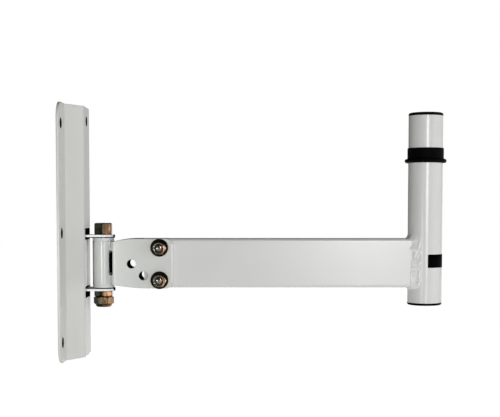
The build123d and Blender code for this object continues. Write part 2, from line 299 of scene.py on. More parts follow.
@dataclass(frozen=True)
class YellowZinc:
    """Zinc-plated steel with a yellow chromate film: a bronze metal, with its edges painted almost black as
    shade.

    It mirrors the room, and its colour also holds painted light: faces turned to the right, and the
    right side of each part, are painted towards copper and gold as highlight, and the rest towards
    olive and black as shade. The film is thin enough to show streaks a few millimetres wide.
    """

    name: str = "yellow_zinc_plated_steel"
    dark: str = "#4A4B3C"
    olive: str = "#58523F"
    copper: str = "#7E543C"
    gold: str = "#E6BF98"
    # Painted shade: the near black colour of the edges
    worn: str = "#070606"
    stops: tuple[float, float, float, float] = (0.28, 0.42, 0.56, 0.78)
    # Painted light: how far faces turned to the right are pushed towards gold
    lit_side: Point = (0.9, 0.0, -0.35)
    lit_side_share: float = 0.22
    # Painted light: the film goes from olive on a part's left to gold on its right, about this axis
    axis_x: float = 33.0
    reach: float = 9.5
    painted_light_slope: float = 0.16
    drip_stretch: Point = (1.0, 1.0, 0.3)
    patch_mm: float = 3.0
    patch_low: float = -0.08
    patch_high: float = 0.7
    grain_mm: float = 1.4
    grain_depth_mm: float = 0.04
    grain_strength: float = 0.3
    edge_mm: float = 2.2
    # Painted shade on the edges: where it starts and where it is gone
    edge_shade_from: float = 0.91
    edge_shade_clear_at: float = 0.994
    roughness_low: float = 0.09
    roughness_high: float = 0.17

    def film(self, tree: Tree, place: Socket, facing: Socket) -> Socket:
        """Colour the chromate film by its thickness and by painted light: more gold on faces turned right
        and on each part's right side.

        Args:
            tree: The material's node tree.
            place: The Object coordinates.
            facing: The true normal.

        Returns:
            The film's colour.
        """
        # Painted light: faces turned to the right are pushed towards copper and gold
        side = add_node(tree, "ShaderNodeVectorMath", {0: facing, 1: self.lit_side},
                        operation="DOT_PRODUCT").outputs["Value"]
        drips = add_node(tree, "ShaderNodeVectorMath", {0: place, 1: self.drip_stretch},
                         operation="MULTIPLY")
        patch = add_node(tree, "ShaderNodeTexNoise",
                         {"Vector": drips, "Scale": per_metre(self.patch_mm), "Detail": 2.0})
        spread = add_node(tree, "ShaderNodeMapRange",
                          {"Value": patch, "To Min": self.patch_low, "To Max": self.patch_high})
        turned = add_node(tree, "ShaderNodeMath", {0: side, 1: self.lit_side_share, 2: spread},
                          operation="MULTIPLY_ADD")
        # Painted light: each part's right side is pushed towards gold and its left towards olive
        along = add_node(tree, "ShaderNodeSeparateXYZ", {0: place}).outputs["X"]
        across = add_node(tree, "ShaderNodeMapRange",
                          {"Value": along, "From Min": (self.axis_x - self.reach) * MM,
                           "From Max": (self.axis_x + self.reach) * MM,
                           "To Min": -self.painted_light_slope, "To Max": self.painted_light_slope})
        thickness = add_node(tree, "ShaderNodeMath", {0: turned, 1: across}, operation="ADD")
        bands = add_node(tree, "ShaderNodeValToRGB", {"Fac": thickness})
        ramp = bands.color_ramp.elements
        colours = (self.dark, self.olive, self.copper, self.gold)
        for index, (at, colour) in enumerate(zip(self.stops, colours)):
            stop = ramp[index] if index < 2 else ramp.new(at)
            stop.position = at
            stop.color = linear(colour)
        return bands.outputs["Color"]

    def painted_edge_shade(self, tree: Tree, facing: Socket) -> Socket:
        """Mark the edges, which are painted almost black as shade.

        Args:
            tree: The material's node tree.
            facing: The true normal.

        Returns:
            A socket that is 1 on an edge and 0 on a flat.
        """
        edge = add_node(tree, "ShaderNodeBevel", {"Radius": self.edge_mm * MM}, samples=8)
        turned = add_node(tree, "ShaderNodeVectorMath", {0: edge, 1: facing}, operation="DOT_PRODUCT")
        return add_node(tree, "ShaderNodeMapRange",
                        {"Value": turned.outputs["Value"], "From Min": self.edge_shade_from,
                         "From Max": self.edge_shade_clear_at, "To Min": 1.0, "To Max": 0.0}).outputs[0]

    def material(self) -> Material:
        """Build the node material.

        Returns:
            The finished material.
        """
        material, tree = empty_material(self.name)
        place = add_node(tree, "ShaderNodeTexCoord").outputs["Object"]
        facing = add_node(tree, "ShaderNodeNewGeometry").outputs["True Normal"]
        # Painted shade: the edges are painted almost black
        tone = add_node(tree, "ShaderNodeMix",
                        {0: self.painted_edge_shade(tree, facing), 6: self.film(tree, place, facing),
                         7: linear(self.worn)}, data_type="RGBA").outputs[2]
        # The plating's crystals are far below a tenth of a millimetre, drawn coarser so that they show
        grain = add_node(tree, "ShaderNodeTexNoise",
                         {"Vector": place, "Scale": per_metre(self.grain_mm), "Detail": 3.0})
        dull = add_node(tree, "ShaderNodeMapRange",
                        {"Value": grain, "To Min": self.roughness_low, "To Max": self.roughness_high})
        bump = add_node(tree, "ShaderNodeBump",
                        {"Height": grain, "Strength": self.grain_strength,
                         "Distance": self.grain_depth_mm * MM})
        shader = add_node(tree, "ShaderNodeBsdfPrincipled",
                          {"Metallic": 1.0, "Base Color": tone, "Roughness": dull, "Normal": bump})
        add_node(tree, "ShaderNodeOutputMaterial", {"Surface": shader})
        return material


@dataclass(frozen=True)
class MouldedPlastic:
    """Injection-moulded thermoplastic: an even colour with a fine matt grain from the mould."""

    name: str
    deep: str
    worn: str
    roughness_low: float
    roughness_high: float
    ior: float
    gloss: float = 0.5
    grain_mm: float = 1.6
    grain_depth_mm: float = 0.03
    grain_strength: float = 0.4

    def material(self) -> Material:
        """Build the node material.

        Returns:
            The finished material.
        """
        material, tree = empty_material(self.name)
        place = add_node(tree, "ShaderNodeTexCoord").outputs["Object"]
        # Spark-eroded grain is about 0.2 mm wide, drawn coarser so that it shows
        grain = add_node(tree, "ShaderNodeTexNoise",
                         {"Vector": place, "Scale": per_metre(self.grain_mm), "Detail": 4.0})
        tone = add_node(tree, "ShaderNodeMix", {0: grain, 6: linear(self.deep), 7: linear(self.worn)},
                        data_type="RGBA").outputs[2]
        dull = add_node(tree, "ShaderNodeMapRange",
                        {"Value": grain, "To Min": self.roughness_low, "To Max": self.roughness_high})
        bump = add_node(tree, "ShaderNodeBump",
                        {"Height": grain, "Strength": self.grain_strength,
                         "Distance": self.grain_depth_mm * MM})
        shader = add_node(tree, "ShaderNodeBsdfPrincipled",
                          {"IOR": self.ior, "Specular IOR Level": self.gloss, "Base Color": tone,
                           "Roughness": dull, "Normal": bump})
        add_node(tree, "ShaderNodeOutputMaterial", {"Surface": shader})
        return material


# The feet of the plate's two slots, their height, and how far below them its back shows through
SLOT_FEET = (-7.56, -67.06)
SLOT_HEIGHT = 11.62
SLOT_SIGHT = 4.5

PLATE_COAT = PowderCoat(
    name="powder_coated_steel_plate",
    pale="#DDDEDA",
    shade="#D7D8D3",
    edge_mm=1.6,
    painted_shade_areas=(
        # Painted shade in the fixing holes and the hole for hanging
        *(Bore(Drill.ALONG_X, (0.0, y, z), 5.25) for y in (-62.0, 62.0) for z in (-106.5, 0.0, 106.5)),
        Bore(Drill.ALONG_X, (0.0, 0.0, 113.0), 5.0),
        # Painted shade on the slots' walls, and on the plate's back beside them, which shows through them
        *(Cutout((12.0, -15.06, z), (18.0, 15.06, z + SLOT_HEIGHT)) for z in SLOT_FEET),
        *(Cutout((11.0, 15.0, z - SLOT_SIGHT), (15.2, 20.5, z + SLOT_HEIGHT)) for z in SLOT_FEET),
        *(Cutout((10.3, 20.4, z - SLOT_SIGHT), (13.6, 24.8, z + SLOT_HEIGHT)) for z in SLOT_FEET),
    ),
)
STRAP_COAT = PowderCoat(
    name="powder_coated_steel_strap",
    # Lighter than the other coats: a painted highlight on the ears
    pale="#F6F6F5",
    shade="#F1F1F0",
    painted_shade_areas=(
        # Painted shade on the ears' ends, their roots in the slots and their inner edges
        Cutout((44.8, -20.0, -70.0), (47.0, 20.0, 10.0)),
        Cutout((13.2, -20.0, -8.0), (16.5, 20.0, 4.5)),
        Cutout((13.2, -20.0, -67.5), (16.5, 20.0, -55.0)),
        Cutout((17.0, -20.0, -5.72), (46.0, 20.0, -4.9)),
        Cutout((17.0, -20.0, -58.1), (46.0, 20.0, -57.28)),
    ),
)
FORK_COAT = PowderCoat(
    name="powder_coated_steel_fork",
    pale="#D8DAD6",
    shade="#D2D4CF",
    edge_mm=1.3,
    gloss_low=0.15,
    gloss_high=0.19,
    painted_shade_areas=(
        # Painted shade in the index holes, on the inside of the cheeks and in the relief slot
        Bore(Drill.ALONG_Y, (64.42, 0.0, -32.2), 4.5),
        Bore(Drill.ALONG_Y, (76.5, 0.0, -44.28), 4.5),
        Cutout((43.2, -12.85, -60.0), (110.0, 12.85, 0.0)),
        Cutout((38.4, -8.5, -44.2), (43.3, 6.0, -18.8)),
    ),
    # A paler band painted along the sheared end of each cheek, as a highlight
    painted_highlight_areas=(
        Cutout((105.4, -16.0, -51.5), (107.0, -13.5, -12.2)),
        Cutout((105.4, 13.5, -51.5), (107.0, 16.0, -12.2)),
    ),
)
WELD_COAT = PowderCoat(
    name="powder_coated_weld",
    # Paler than the arm's and pole's coat: a painted highlight on the bead's ridges
    pale="#E6E6E5",
    shade="#DCDCDA",
    gloss_low=0.17,
    gloss_high=0.23,
)
NUT_ZINC = YellowZinc(
    name="yellow_zinc_plated_steel_nuts",
    dark="#3E3F33",
    olive="#4E4838",
    copper="#7E573F",
    gold="#AE8B69",
    axis_x=30.0,
    painted_light_slope=0.28,
    patch_mm=2.2,
)
TILT_ZINC = YellowZinc(name="yellow_zinc_plated_steel_tilt", axis_x=TILT_X, edge_mm=0.5, painted_light_slope=0.34)
# A lighter copy of the zinc for the nuts' rolled lips: a painted highlight
HIGHLIGHT_ZINC = YellowZinc(
    name="highlight_zinc_plated_steel",
    axis_x=TILT_X,
    dark="#A19F98",
    olive="#BBB8B0",
    copper="#D9D5CC",
    gold="#F4F1EA",
    worn="#55524C",
)
DULL_ZINC = YellowZinc(
    name="dull_zinc_plated_steel",
    axis_x=TILT_X,
    dark="#68635B",
    olive="#777167",
    copper="#8A8377",
    gold="#A1998B",
    worn="#0B0A09",
    edge_mm=0.6,
)
# A darker copy of the zinc for the washers: painted shade
SHADED_ZINC = YellowZinc(
    name="shaded_zinc_plated_steel",
    dark="#0D0C0A",
    olive="#15130F",
    copper="#241C15",
    gold="#40352A",
    worn="#050505",
)
BLACK_PLASTIC = MouldedPlastic("black_polypropylene", "#030303", "#080808", 0.52, 0.62, 1.49, 0.025)
NYLON = MouldedPlastic("natural_nylon", "#CFD1D1", "#D9DADA", 0.38, 0.5, 1.53)
GREY_NYLON = MouldedPlastic("grey_nylon", "#3A3733", "#46433E", 0.3, 0.42, 1.53)
LABEL_FILM = MouldedPlastic("black_vinyl_film", "#020202", "#050505", 0.46, 0.54, 1.52, 0.01)


@dataclass
class Finishes:
    """The materials of the whole object, made once."""

    paint: Material
    plate_paint: Material
    strap_paint: Material
    fork_paint: Material
    weld_paint: Material
    zinc: Material
    nut_zinc: Material
    tilt_zinc: Material
    highlight_zinc: Material
    dull_zinc: Material
    shaded_zinc: Material
    black: Material
    nylon: Material
    grey_nylon: Material
    label: Material

    @classmethod
    def make(cls) -> "Finishes":
        """Build every material of the object.

        Returns:
            The finished materials.
        """
        coats = (PowderCoat(), PLATE_COAT, STRAP_COAT, FORK_COAT, WELD_COAT)
        platings = (YellowZinc(), NUT_ZINC, TILT_ZINC, HIGHLIGHT_ZINC, DULL_ZINC, SHADED_ZINC)
        plastics = (BLACK_PLASTIC, NYLON, GREY_NYLON, LABEL_FILM)
        return cls(*(finish.material() for finish in (*coats, *platings, *plastics)))


def dress(node: str, material: Material) -> None:
    """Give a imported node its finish.

    Args:
        node: The node's name.
        material: The finish.
    """
    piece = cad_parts[node]
    piece.data.materials.clear()
    piece.data.materials.append(material)
    log.info("dressed %s in %s", node, material.name)


def make_piece(name: str, shape: BMesh, material: Material) -> bpy.types.Object:
    """Turn a finished bmesh into a piece that rides on the arm's body.

    Args:
        name: The piece's name.
        shape: The mesh, in metres and in place; it is freed.
        material: The piece's finish.

    Returns:
        The new object.
    """
    mesh = bpy.data.meshes.new(name)
    shape.to_mesh(mesh)
    shape.free()
    mesh.materials.append(material)
    mesh.shade_smooth()
    piece = bpy.data.objects.new(name, mesh)
    bpy.context.scene.collection.objects.link(piece)
    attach(piece, ARM_BODY)
    log.info("built %s with %d faces", name, len(mesh.polygons))
    return piece


def spin_round(shape: BMesh, geometry: list[Any], steps: int) -> None:
    """Spin vertices and edges once round the Z axis, into a closed ring."""
    bmesh.ops.spin(shape, geom=geometry, cent=(0, 0, 0), axis=(0, 0, 1), angle=2 * math.pi,
                   steps=steps, use_merge=True)


def close_seams(shape: BMesh) -> None:
    """Merge doubled vertices and turn the faces outwards."""
    bmesh.ops.remove_doubles(shape, verts=shape.verts, dist=MERGE_M)
    bmesh.ops.recalc_face_normals(shape, faces=shape.faces)


def face_near_side(shape: BMesh, place: Point) -> None:
    """Turn a shape's Z axis to the near side, and move its origin to a place in millimetres."""
    bmesh.ops.rotate(shape, verts=shape.verts, cent=(0, 0, 0), matrix=Matrix.Rotation(math.pi / 2, 3, "X"))
    bmesh.ops.translate(shape, verts=shape.verts, vec=Vector(place) * MM)


def turned_ring(profile: list[tuple[float, float]], centre: Point) -> BMesh:
    """Turn a closed profile about an upright axis.

    Args:
        profile: Corners as (radius, height) in millimetres.
        centre: The foot of the axis, in millimetres.

    Returns:
        The closed ring, in metres and in place.
    """
    ring = bmesh.new()
    corners = [ring.verts.new((radius * MM, 0, height * MM)) for radius, height in profile]
    edges = [ring.edges.new((corners[i - 1], corners[i])) for i in range(len(corners))]
    spin_round(ring, [*corners, *edges], RING_STEPS)
    close_seams(ring)
    bmesh.ops.translate(ring, verts=ring.verts, vec=Vector(centre) * MM)
    return ring


@dataclass
class WallMount:
    """The folded wall plate and the strap whose ears hold the hinge."""

    finishes: Finishes

    def build(self) -> None:
        """Dress the plate and the strap."""
        dress("wall_plate", self.finishes.plate_paint)
        dress("hinge_bracket", self.finishes.strap_paint)


@dataclass
class SwivelHinge:
    """The upright bolt with its nuts, and the bushes and the fork that turn on it."""

    finishes: Finishes

    def build(self) -> None:
        """Dress the bolt, its nuts, the bushes and the fork."""
        dress("swivel_bolt", self.finishes.zinc)
        for node in ("swivel_thin_nut", "swivel_lock_nut"):
            dress(node, self.finishes.nut_zinc)
        dress("swivel_nut_insert", self.finishes.grey_nylon)
        for node in ("upper_bush", "lower_bush"):
            dress(node, self.finishes.nylon)
        dress("swivel_fork", self.finishes.fork_paint)


@dataclass
class WeldBead:
    """The rippled bead that joins the arm to the pole, painted over with them in a paler copy of
    their coat, as a painted highlight.

    The form of each side is the bead's leg on the arm, its leg on the pole and its fullness, from 0
    for a hollow bead to 1 for a flat one.
    """

    finishes: Finishes
    pole_x: float = POLE_X
    pole_radius: float = POLE_RADIUS
    arm_z: float = -31.5
    arm_width: float = 25.0
    arm_height: float = 50.0
    arm_corner: float = 3.0
    side_form: Point = (4.2, 3.6, 0.75)
    top_form: Point = (3.4, 6.0, 0.1)
    bottom_form: Point = (3.0, 3.0, 0.3)
    sink: float = 0.25
    limb_margin: float = 0.2
    ripple_pitch: float = 4.2
    ripple_height: float = 0.22
    ripple_bow: float = 7.0
    ripple_drift: float = 1.5
    drift_size: float = 11.0
    lump_size: float = 7.0
    lump_height: float = 0.75
    swell: float = 0.2
    top_smoothing: float = 0.75
    arm_wander: float = 2.4
    arm_wander_pace: float = 1.7
    arm_wander_layer: float = 5.3
    pole_wander: float = 1.44
    pole_wander_pace: float = 1.9
    pole_wander_layer: float = 9.1
    ridge_at: float = 0.84
    ridge_spread: float = 0.09
    ridge_height: float = 0.5625
    ridge_change: float = 0.45
    ridge_size: float = 6.0
    root_in_pole: float = 0.4
    root_in_arm: float = 0.5
    root_pull: float = 0.35
    stations: int = 288
    profile_points: int = 26
    buried_points: int = 3

    def outline(self, turn: float) -> tuple[Vector, Vector, float]:
        """Find a station on the arm's outline.

        Args:
            turn: Share of the way round, from 0 to 1, from the middle of the near side upwards.

        Returns:
            The point as (y, z) from the arm's axis, the outward direction there, and the distance
            along the outline.
        """
        radius = self.arm_corner
        half_y, half_z = self.arm_width / 2 - radius, self.arm_height / 2 - radius
        quarter = math.pi / 2 * radius
        runs = [half_z, quarter, 2 * half_y, quarter, 2 * half_z, quarter, 2 * half_y, quarter, half_z]
        starts = [(-half_y, 0.0), (-half_y, half_z), (-half_y, half_z), (half_y, half_z), (half_y, half_z),
                  (half_y, -half_z), (half_y, -half_z), (-half_y, -half_z), (-half_y, -half_z)]
        along = turn * sum(runs)
        rest = along
        for index, (run, start) in enumerate(zip(runs, starts)):
            if rest <= run or index == len(runs) - 1:
                break
            rest -= run
        facing = math.radians(180 - 90 * (index // 2))
        if index % 2:
            facing -= rest / radius
            rest = 0.0
        out = Vector((math.cos(facing), math.sin(facing)))
        ahead = Vector((out.y, -out.x))
        return Vector(start) + out * radius + ahead * rest, out, along

    def on_pole(self, point: Vector) -> Vector:
        """Where a point (y, z) beside the arm's axis falls on the pole's skin."""
        depth = math.sqrt(self.pole_radius ** 2 - point.x ** 2)
        return Vector((self.pole_x - depth, point.x, self.arm_z + point.y))

    def relief(self, skin: Vector, out: Vector, along: float, share: float) -> Vector:
        """Raise ripples and lumps, and a ridge by the pole.

        Args:
            skin: The point on the smooth bead.
            out: The direction out of the arm there, as (y, z).
            along: The distance along the arm's outline.
            share: From 0 on the arm to 1 on the pole.

        Returns:
            How far the point moves, in millimetres.
        """
        drift = self.ripple_drift * noise.noise(skin / self.drift_size)
        bow = along + self.ripple_bow * (share - 0.5) ** 2 + drift
        ripple = abs(math.sin(math.pi * bow / self.ripple_pitch)) * self.ripple_height
        lump = noise.noise(skin / self.lump_size) * self.lump_height
        calm = 1 - self.top_smoothing * max(out.y, 0.0) ** 2
        crest = math.sin(math.pi * share) * (ripple + lump + self.swell) * calm
        toe = math.exp(-((share - self.ridge_at) / self.ridge_spread) ** 2)
        fade = (1 - share) / (1 - self.ridge_at) * (1 - out.y ** 2)
        ridge = self.ridge_height + self.ridge_change * noise.noise(skin / self.ridge_size)
        lift = Vector((-1, out.x, out.y)).normalized()
        return lift * crest + Vector((0, out.x, out.y)) * toe * fade * ridge

    def surface(self, turn: float, share: float) -> Vector:
        """Place a point of the bead's skin.

        Args:
            turn: Share of the way round the arm.
            share: From 0 on the arm to 1 on the pole.

        Returns:
            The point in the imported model's frame, in millimetres.
        """
        point, out, along = self.outline(turn)
        up, down = max(out.y, 0.0) ** 2, max(-out.y, 0.0) ** 2
        side = 1 - up - down
        arm_leg, pole_leg, fullness = (
            side * a + up * b + down * c
            for a, b, c in zip(self.side_form, self.top_form, self.bottom_form)
        )
        seed = Vector((point.x, point.y, 0.0)) / self.lump_size
        arm_seed = seed * self.arm_wander_pace + Vector((0, 0, self.arm_wander_layer))
        pole_seed = seed * self.pole_wander_pace + Vector((0, 0, self.pole_wander_layer))
        arm_leg += self.arm_wander * noise.noise(arm_seed)
        pole_leg += self.pole_wander * noise.noise(pole_seed)
        foot = self.on_pole(point)
        low = foot + Vector((-arm_leg, -self.sink * out.x, -self.sink * out.y))
        spread = point + out * pole_leg
        limit = self.pole_radius - self.limb_margin
        spread.x = max(-limit, min(limit, spread.x))
        high = self.on_pole(spread) + Vector((self.sink, 0, 0))
        knee = foot.lerp((low + high) / 2, fullness)
        skin = low * (1 - share) ** 2 + knee * 2 * share * (1 - share) + high * share ** 2
        return skin + self.relief(skin, out, along, share)

    def shape(self) -> BMesh:
        """Model the bead as a ring whose skin is drawn over the joint.

        Returns:
            The mesh, in metres.
        """
        bead = bmesh.new()
        # A plain ring, whose points are then drawn over the joint
        upright = Matrix.Translation((1, 0, 0)) @ Matrix.Rotation(math.pi / 2, 4, "X")
        bmesh.ops.create_circle(bead, segments=self.profile_points, radius=0.25, matrix=upright)
        spin_round(bead, [*bead.verts, *bead.edges], self.stations)
        # The points after the front ones lie inside the joint
        front = self.profile_points - self.buried_points
        for vert in bead.verts:
            turn = math.atan2(vert.co.y, vert.co.x) / (2 * math.pi) % 1.0
            tube = math.atan2(vert.co.z, math.hypot(vert.co.x, vert.co.y) - 1) / (2 * math.pi) % 1.0
            index = round(tube * self.profile_points) % self.profile_points
            if index <= front:
                place = self.surface(turn, index / front)
            else:
                point, out, _ = self.outline(turn)
                inwards = Vector((self.root_in_pole, -self.root_in_arm * out.x, -self.root_in_arm * out.y))
                end = self.surface(turn, 1.0 if index == front + 1 else 0.0)
                place = (self.on_pole(point) + inwards).lerp(end, self.root_pull)
            vert.co = place * MM
        close_seams(bead)
        return bead

    def build(self) -> None:
        """Model and dress the bead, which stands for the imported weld."""
        bead = make_piece("weld_bead", self.shape(), self.finishes.weld_paint)
        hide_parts("arm_weld")


@dataclass
class PoleLabel:
    """A blank black film stuck low on the pole."""

    finishes: Finishes
    pole_x: float = POLE_X
    pole_radius: float = POLE_RADIUS
    bottom_z: float = -36.1
    top_z: float = -22.6
    start_angle: float = 1.5
    end_angle: float = 132.0
    thickness: float = 0.3
    sink: float = 0.02
    corner: float = 0.9
    corner_steps: int = 4
    steps: int = 40

    def shape(self) -> BMesh:
        """Model the film, bent round the pole.

        Returns:
            The mesh, in metres.
        """
        film = bmesh.new()
        radius = (self.pole_radius - self.sink) * MM
        axis = Vector((self.pole_x * MM, 0, 0))
        ends = [film.verts.new((axis.x, -radius, z * MM)) for z in (self.bottom_z, self.top_z)]
        edge = film.edges.new(ends)
        begin = Matrix.Rotation(math.radians(self.start_angle), 3, "Z")
        bmesh.ops.rotate(film, verts=ends, cent=axis, matrix=begin)
        bmesh.ops.spin(film, geom=[*ends, edge], cent=axis, axis=(0, 0, 1),
                       angle=math.radians(self.end_angle - self.start_angle), steps=self.steps)
        corners = [vert for vert in film.verts if len(vert.link_edges) == 2]
        bmesh.ops.bevel(film, geom=corners, offset=self.corner * MM, offset_type="OFFSET",
                        affect="VERTICES", segments=self.corner_steps, profile=0.5, material=-1)
        bmesh.ops.recalc_face_normals(film, faces=film.faces)
        face = next(iter(film.faces))
        if face.normal.dot(face.calc_center_median() - axis) < 0:
            bmesh.ops.reverse_faces(film, faces=film.faces)
        bmesh.ops.solidify(film, geom=film.faces, thickness=-self.thickness * MM)
        bmesh.ops.recalc_face_normals(film, faces=film.faces)
        return film

    def build(self) -> None:
        """Model and dress the label."""
        make_piece("pole_label", self.shape(), self.finishes.label)


@dataclass
class EndCap:
    """A black cap with a round rim, a thin lip over the pole's end and a hollow spigot in its bore."""

    finishes: Finishes
    name: str
    node: str
    end_z: float
    outwards: float
    lip: float
    pole_x: float = POLE_X
    pole_radius: float = POLE_RADIUS
    lip_thickness: float = 0.12
    seat_overlap: float = 0.05
    height: float = 2.0
    rim_radius: float = 1.9
    spigot_radius: float = 15.4
    spigot_wall: float = 2.0
    spigot_depth: float = 12.0
    rim_points: int = 12

    def build(self) -> None:
        """Model and dress the cap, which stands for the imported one."""
        rim, seat = self.pole_radius + self.lip_thickness, self.pole_radius - self.seat_overlap
        middle, level = rim - self.rim_radius, self.height - self.rim_radius
        bore = self.spigot_radius - self.spigot_wall
        profile = [(0.0, self.height)]
        for step in range(self.rim_points + 1):
            angle = math.pi / 2 * (1 - step / self.rim_points)
            profile.append((middle + self.rim_radius * math.cos(angle),
                            level + self.rim_radius * math.sin(angle)))
        profile += [(rim, -self.lip), (seat, -self.lip), (seat, 0.0), (self.spigot_radius, 0.0),
                    (self.spigot_radius, -self.spigot_depth), (bore, -self.spigot_depth),
                    (bore, 0.0), (0.0, 0.0)]
        profile = [(radius, height * self.outwards) for radius, height in profile]
        cap = turned_ring(profile, (self.pole_x, 0.0, self.end_z))
        piece = make_piece(self.name, cap, self.finishes.black)
        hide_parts(self.node)


@dataclass
class Collar:
    """The black collar with a round bead at its foot, which the speaker rests on."""

    finishes: Finishes
    pole_x: float = POLE_X
    inner_radius: float = 17.6
    body_radius: float = 18.45
    bead_radius: float = 21.24
    bottom_z: float = 70.6
    height: float = 15.1
    bead_height: float = 4.1
    bead_points: int = 24
    neck_flare: float = 0.2
    neck_low: float = 0.15
    neck_high: float = 0.7
    rim_radius: float = 0.6
    rim_points: int = 6

    def build(self) -> None:
        """Model and dress the collar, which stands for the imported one."""
        half = self.bead_height / 2
        middle, rim = self.bead_radius - half, self.body_radius - self.rim_radius
        profile = [(self.inner_radius, 0.0)]
        for step in range(self.bead_points + 1):
            angle = math.pi * (step / self.bead_points - 0.5)
            profile.append((middle + half * math.cos(angle), half + half * math.sin(angle)))
        profile.append((self.body_radius + self.neck_flare, self.bead_height + self.neck_low))
        profile.append((self.body_radius, self.bead_height + self.neck_high))
        for step in range(self.rim_points + 1):
            angle = math.pi / 2 * step / self.rim_points
            profile.append((rim + self.rim_radius * math.cos(angle),
                            self.height - self.rim_radius * (1 - math.sin(angle))))
        profile.append((self.inner_radius, self.height))
        collar = turned_ring(profile, (self.pole_x, 0.0, self.bottom_z))
        piece = make_piece("pole_collar", collar, self.finishes.black)
        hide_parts("pole_sleeve")


@dataclass
class ArmAndPole:
    """The rectangular arm, the upright pole and what is on the pole."""

    finishes: Finishes

    def build(self) -> None:
        """Dress the tubes, and build the weld bead, the label and the plastic pieces."""
        for node in ("support_arm", "speaker_pole"):
            dress(node, self.finishes.paint)
        WeldBead(self.finishes).build()
        PoleLabel(self.finishes).build()
        Collar(self.finishes).build()
        for cap in (
            EndCap(self.finishes, "top_end_cap", "pole_top_cap", end_z=119.5, outwards=1.0, lip=1.1),
            EndCap(self.finishes, "bottom_end_cap", "pole_bottom_cap", end_z=-73.0, outwards=-1.0, lip=0.5),
        ):
            cap.build()


@dataclass
class BoltTip:
    """The threaded end of a tilt bolt in its lock nut, with the low pip that turning leaves on it."""

    finishes: Finishes
    name: str
    z: float
    x: float = TILT_X
    seat_y: float = -26.2
    thread_radius: float = 3.9
    core_radius: float = 3.3
    pitch: float = 1.25
    turns: int = 2
    thread_overlap: float = 0.05
    thread_run_in: float = 0.3
    length: float = 2.2
    chamfer_height: float = -0.25
    end_height: float = 0.1
    end_share: float = 0.86
    pip_radius: float = 1.5
    pip_height: float = 0.07
    steps: int = 48

    def shape(self) -> BMesh:
        """Model the tip: a core with a pip on its end and a helix of thread round it.

        Returns:
            The mesh, in metres and in place.
        """
        tip = bmesh.new()
        line = [(self.core_radius, -self.length), (self.core_radius, self.chamfer_height),
                (self.end_share * self.core_radius, self.end_height)]
        line += [(self.pip_radius * share, self.end_height + self.pip_height * (1 - share ** 2))
                 for share in (1.0, 0.8, 0.6, 0.4, 0.2, 0.0)]
        points = [tip.verts.new((r * MM, 0, h * MM)) for r, h in line]
        edges = [tip.edges.new(pair) for pair in zip(points, points[1:])]
        spin_round(tip, [*points, *edges], self.steps)
        root, foot = self.core_radius - self.thread_overlap, -self.length - self.thread_run_in
        tooth = [(root, -0.5 * self.pitch), (self.thread_radius, 0.0), (root, 0.5 * self.pitch)]
        crest = [tip.verts.new((r * MM, 0, (h + foot) * MM)) for r, h in tooth]
        flanks = [tip.edges.new(pair) for pair in zip(crest, crest[1:])]
        bmesh.ops.spin(tip, geom=[*crest, *flanks], cent=(0, 0, 0), axis=(0, 0, 1),
                       angle=2 * math.pi * self.turns, dvec=(0, 0, self.pitch * MM / self.steps),
                       steps=self.steps * self.turns)
        close_seams(tip)
        face_near_side(tip, (self.x, self.seat_y, self.z))
        return tip

    def build(self) -> None:
        """Model and dress the tip."""
        make_piece(self.name, self.shape(), self.finishes.dull_zinc)


@dataclass
class RolledLip:
    """The lip of a lock nut's collar, rolled inwards towards the bolt, in a lighter zinc as a painted
    highlight.
    """

    finishes: Finishes
    name: str
    z: float
    x: float = TILT_X
    rim_y: float = -25.85
    outer_radius: float = 5.3
    inner_radius: float = 4.2
    depth: float = 0.8
    points: int = 8

    def build(self) -> None:
        """Model and dress the lip."""
        arc = [math.pi / 2 * i / self.points for i in range(self.points + 1)]
        width = self.outer_radius - self.inner_radius
        profile = [(self.outer_radius - width * math.sin(a), self.depth * math.cos(a)) for a in arc]
        profile.append((self.outer_radius, 0.0))
        lip = turned_ring(profile, (0.0, 0.0, 0.0))
        face_near_side(lip, (self.x, self.rim_y + self.depth, self.z))
        make_piece(self.name, lip, self.finishes.highlight_zinc)


@dataclass
class TiltBolts:
    """The pivot bolt and the lock bolt, which hold the arm in the fork, with their fasteners."""

    finishes: Finishes

    def build(self) -> None:
        """Dress both sets of fasteners, and build the bolts' tips and the nuts' lips."""
        for bolt in ("tilt_pivot", "tilt_lock"):
            for part in ("bolt", "nut"):
                dress(f"{bolt}_{part}", self.finishes.tilt_zinc)
            for part in ("head_washer", "nut_washer"):
                dress(f"{bolt}_{part}", self.finishes.shaded_zinc)
            dress(f"{bolt}_nut_insert", self.finishes.grey_nylon)
        BoltTip(self.finishes, "pivot_bolt_tip", PIVOT_Z).build()
        BoltTip(self.finishes, "lock_bolt_tip", LOCK_Z).build()
        RolledLip(self.finishes, "pivot_nut_lip", PIVOT_Z).build()
        RolledLip(self.finishes, "lock_nut_lip", LOCK_Z).build()


@dataclass(frozen=True)
class SoftBox:
    """A soft lamp with its place, its target and its size in metres and its power in watts.

    Glossy surfaces show it only where it is mirrored.
    """

    name: str
    place: Point
    target: Point
    size: tuple[float, float]
    power: float
    mirrored: bool = True

    def build(self) -> None:
        """Hang the lamp in the scene."""
        data = bpy.data.lights.new(self.name, "AREA")
        data.shape = "RECTANGLE"
        data.size, data.size_y = self.size
        data.energy = self.power
        lamp = bpy.data.objects.new(self.name, data)
        lamp.visible_glossy = self.mirrored
        lamp.location = self.place
        beam = Vector(self.target) - Vector(self.place)
        lamp.rotation_euler = beam.to_track_quat("-Z", "Y").to_euler()
        bpy.context.scene.collection.objects.link(lamp)


